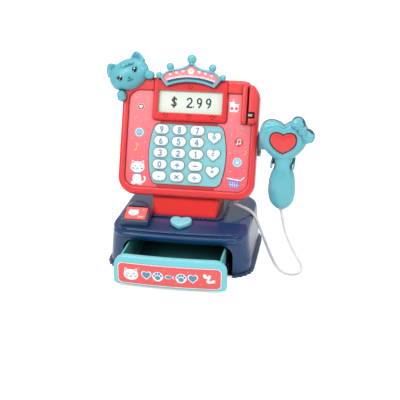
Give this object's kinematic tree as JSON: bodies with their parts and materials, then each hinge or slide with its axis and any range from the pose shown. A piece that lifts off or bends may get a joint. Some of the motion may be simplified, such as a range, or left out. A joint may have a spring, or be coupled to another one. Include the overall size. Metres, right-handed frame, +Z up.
{
  "type": "toy cash register",
  "caption": "Toy cash register with a tilted keypad head, small display, spring-out cash drawer and a corded heart-shaped hand scanner in a side holder.",
  "frame": {"origin": "on the floor plane under the middle of the drawer width: x = 0 is the register's left-right symmetry plane, y = 0 lies 57 mm behind the front of the base, z = 0 is the underside it stands on", "axes": "+X to the register's right as seen by the person using it from the front, +Y to the back, +Z up; the drawer opens along -Y"},
  "size_m": [0.2609, 0.2009, 0.2444],
  "materials": {
    "navy_shell": "semi-gloss moulded ABS",
    "red_shell": "semi-gloss moulded ABS",
    "teal_trim": "semi-gloss moulded ABS",
    "aqua_drawer": "semi-gloss moulded ABS",
    "white_key": "satin moulded plastic",
    "pink_label": "printed adhesive label",
    "steel": "zinc-plated steel",
    "black_plastic": "satin moulded plastic",
    "clear_window": "clear polystyrene window",
    "lcd": "light grey-green display panel",
    "board": "circuit board",
    "membrane": "silicone key mat",
    "speaker_black": "speaker basket and cone",
    "cell": "dry cell jacket",
    "contact": "nickel-plated spring steel",
    "cable_white": "soft PVC cable"
  },
  "bodies": {
    "base": {"base_shell": "navy_shell", "base_floor": "navy_shell", "shell_screws": "steel", "drawer_spring": "steel", "latch_spring": "steel", "neck_column": "red_shell", "pad_housing": "black_plastic", "head_front_shell": "red_shell", "head_rear_shell": "red_shell", "head_screws": "steel", "display_bezel": "red_shell", "display_window": "clear_window", "lcd_module": "lcd", "face_labels": "pink_label", "keypad_plate": "teal_trim", "keypad_membrane": "membrane", "main_board": "board", "speaker": "speaker_black", "battery_door": "red_shell", "battery_door_screw": "steel", "batteries": "cell", "battery_contacts": "contact", "crown": "teal_trim", "crown_label": "pink_label", "cat_figure": "teal_trim", "scanner_bracket": "teal_trim", "bracket_screws": "steel", "cable_grommet": "cable_white", "scanner_cable": "cable_white"},
    "drawer": {"drawer_front": "aqua_drawer", "drawer_tray": "aqua_drawer", "drawer_label": "pink_label"},
    "release_button": {"release_button": "teal_trim"},
    "latch_lever": {"latch_lever": "black_plastic"},
    "scan_pad": {"pad_plate": "red_shell", "pad_label": "pink_label"},
    "swipe_lever": {"swipe_lever": "white_key"},
    "scanner": {"scanner_front_shell": "teal_trim", "scanner_rear_shell": "teal_trim", "scanner_board": "board", "scanner_screws": "steel"},
    "scanner_button": {"scanner_button": "red_shell"},
    "key_9": {"key_9": "white_key"},
    "key_8": {"key_8": "white_key"},
    "key_7": {"key_7": "white_key"},
    "key_6": {"key_6": "white_key"},
    "key_5": {"key_5": "white_key"},
    "key_4": {"key_4": "white_key"},
    "key_3": {"key_3": "white_key"},
    "key_2": {"key_2": "white_key"},
    "key_1": {"key_1": "white_key"},
    "key_0": {"key_0": "white_key"},
    "key_plus": {"key_plus": "white_key"},
    "key_minus": {"key_minus": "white_key"},
    "key_point": {"key_point": "white_key"},
    "key_times": {"key_times": "white_key"},
    "key_divide": {"key_divide": "white_key"},
    "heart_key_on": {"heart_key_on": "white_key"},
    "heart_key_off": {"heart_key_off": "white_key"},
    "heart_key_equals": {"heart_key_equals": "white_key"}
  },
  "joints": [
    {"name": "drawer_slide", "type": "slide", "parent": "base", "child": "drawer", "axis": [0, -1, 0], "range_m": [-0.0455, 0.04], "deforming": ["drawer_spring"]},
    {"name": "release_button_press", "type": "slide", "parent": "base", "child": "release_button", "axis": [0, 0.1219, -0.9925], "range_m": [0, 0.0018], "stiffness_N_per_m": 400},
    {"name": "latch_pivot", "type": "hinge", "parent": "base", "child": "latch_lever", "pos_m": [0, 0.006, 0.044], "axis": [1, 0, 0], "range_deg": [0, 2.95], "deforming": ["latch_spring"]},
    {"name": "scan_pad_press", "type": "slide", "parent": "base", "child": "scan_pad", "axis": [0, 0.4067, -0.9135], "range_m": [0, 0.0012], "stiffness_N_per_m": 300},
    {"name": "swipe_lever_pivot", "type": "hinge", "parent": "base", "child": "swipe_lever", "pos_m": [0.0762, 0.02975, 0.1747], "axis": [0, 0.3518, 0.9361], "range_deg": [0, 17]},
    {"name": "scanner_lift_out", "type": "slide", "parent": "base", "child": "scanner", "axis": [0, -1, 0], "range_m": [0, 0.12], "deforming": ["scanner_cable"]},
    {"name": "scanner_button_press", "type": "slide", "parent": "scanner", "child": "scanner_button", "axis": [0, 1, 0], "range_m": [0, 0.0015], "stiffness_N_per_m": 300},
    {"name": "key_9_press", "type": "slide", "parent": "base", "child": "key_9", "axis": [0, 0.9361, -0.3518], "range_m": [0, 0.0018], "stiffness_N_per_m": 250},
    {"name": "key_8_press", "type": "slide", "parent": "base", "child": "key_8", "axis": [0, 0.9361, -0.3518], "range_m": [0, 0.0018], "stiffness_N_per_m": 250},
    {"name": "key_7_press", "type": "slide", "parent": "base", "child": "key_7", "axis": [0, 0.9361, -0.3518], "range_m": [0, 0.0018], "stiffness_N_per_m": 250},
    {"name": "key_6_press", "type": "slide", "parent": "base", "child": "key_6", "axis": [0, 0.9361, -0.3518], "range_m": [0, 0.0018], "stiffness_N_per_m": 250},
    {"name": "key_5_press", "type": "slide", "parent": "base", "child": "key_5", "axis": [0, 0.9361, -0.3518], "range_m": [0, 0.0018], "stiffness_N_per_m": 250},
    {"name": "key_4_press", "type": "slide", "parent": "base", "child": "key_4", "axis": [0, 0.9361, -0.3518], "range_m": [0, 0.0018], "stiffness_N_per_m": 250},
    {"name": "key_3_press", "type": "slide", "parent": "base", "child": "key_3", "axis": [0, 0.9361, -0.3518], "range_m": [0, 0.0018], "stiffness_N_per_m": 250},
    {"name": "key_2_press", "type": "slide", "parent": "base", "child": "key_2", "axis": [0, 0.9361, -0.3518], "range_m": [0, 0.0018], "stiffness_N_per_m": 250},
    {"name": "key_1_press", "type": "slide", "parent": "base", "child": "key_1", "axis": [0, 0.9361, -0.3518], "range_m": [0, 0.0018], "stiffness_N_per_m": 250},
    {"name": "key_0_press", "type": "slide", "parent": "base", "child": "key_0", "axis": [0, 0.9361, -0.3518], "range_m": [0, 0.0018], "stiffness_N_per_m": 250},
    {"name": "key_plus_press", "type": "slide", "parent": "base", "child": "key_plus", "axis": [0, 0.9361, -0.3518], "range_m": [0, 0.0018], "stiffness_N_per_m": 250},
    {"name": "key_minus_press", "type": "slide", "parent": "base", "child": "key_minus", "axis": [0, 0.9361, -0.3518], "range_m": [0, 0.0018], "stiffness_N_per_m": 250},
    {"name": "key_point_press", "type": "slide", "parent": "base", "child": "key_point", "axis": [0, 0.9361, -0.3518], "range_m": [0, 0.0018], "stiffness_N_per_m": 250},
    {"name": "key_times_press", "type": "slide", "parent": "base", "child": "key_times", "axis": [0, 0.9361, -0.3518], "range_m": [0, 0.0018], "stiffness_N_per_m": 250},
    {"name": "key_divide_press", "type": "slide", "parent": "base", "child": "key_divide", "axis": [0, 0.9361, -0.3518], "range_m": [0, 0.0018], "stiffness_N_per_m": 250},
    {"name": "heart_key_on_press", "type": "slide", "parent": "base", "child": "heart_key_on", "axis": [0, 0.9361, -0.3518], "range_m": [0, 0.0018], "stiffness_N_per_m": 250},
    {"name": "heart_key_off_press", "type": "slide", "parent": "base", "child": "heart_key_off", "axis": [0, 0.9361, -0.3518], "range_m": [0, 0.0018], "stiffness_N_per_m": 250},
    {"name": "heart_key_equals_press", "type": "slide", "parent": "base", "child": "heart_key_equals", "axis": [0, 0.9361, -0.3518], "range_m": [0, 0.0018], "stiffness_N_per_m": 250}
  ],
  "couplings": [
    {"joint": "latch_pivot", "follows": "release_button_press", "rad_per_m": 27.6}
  ]
}
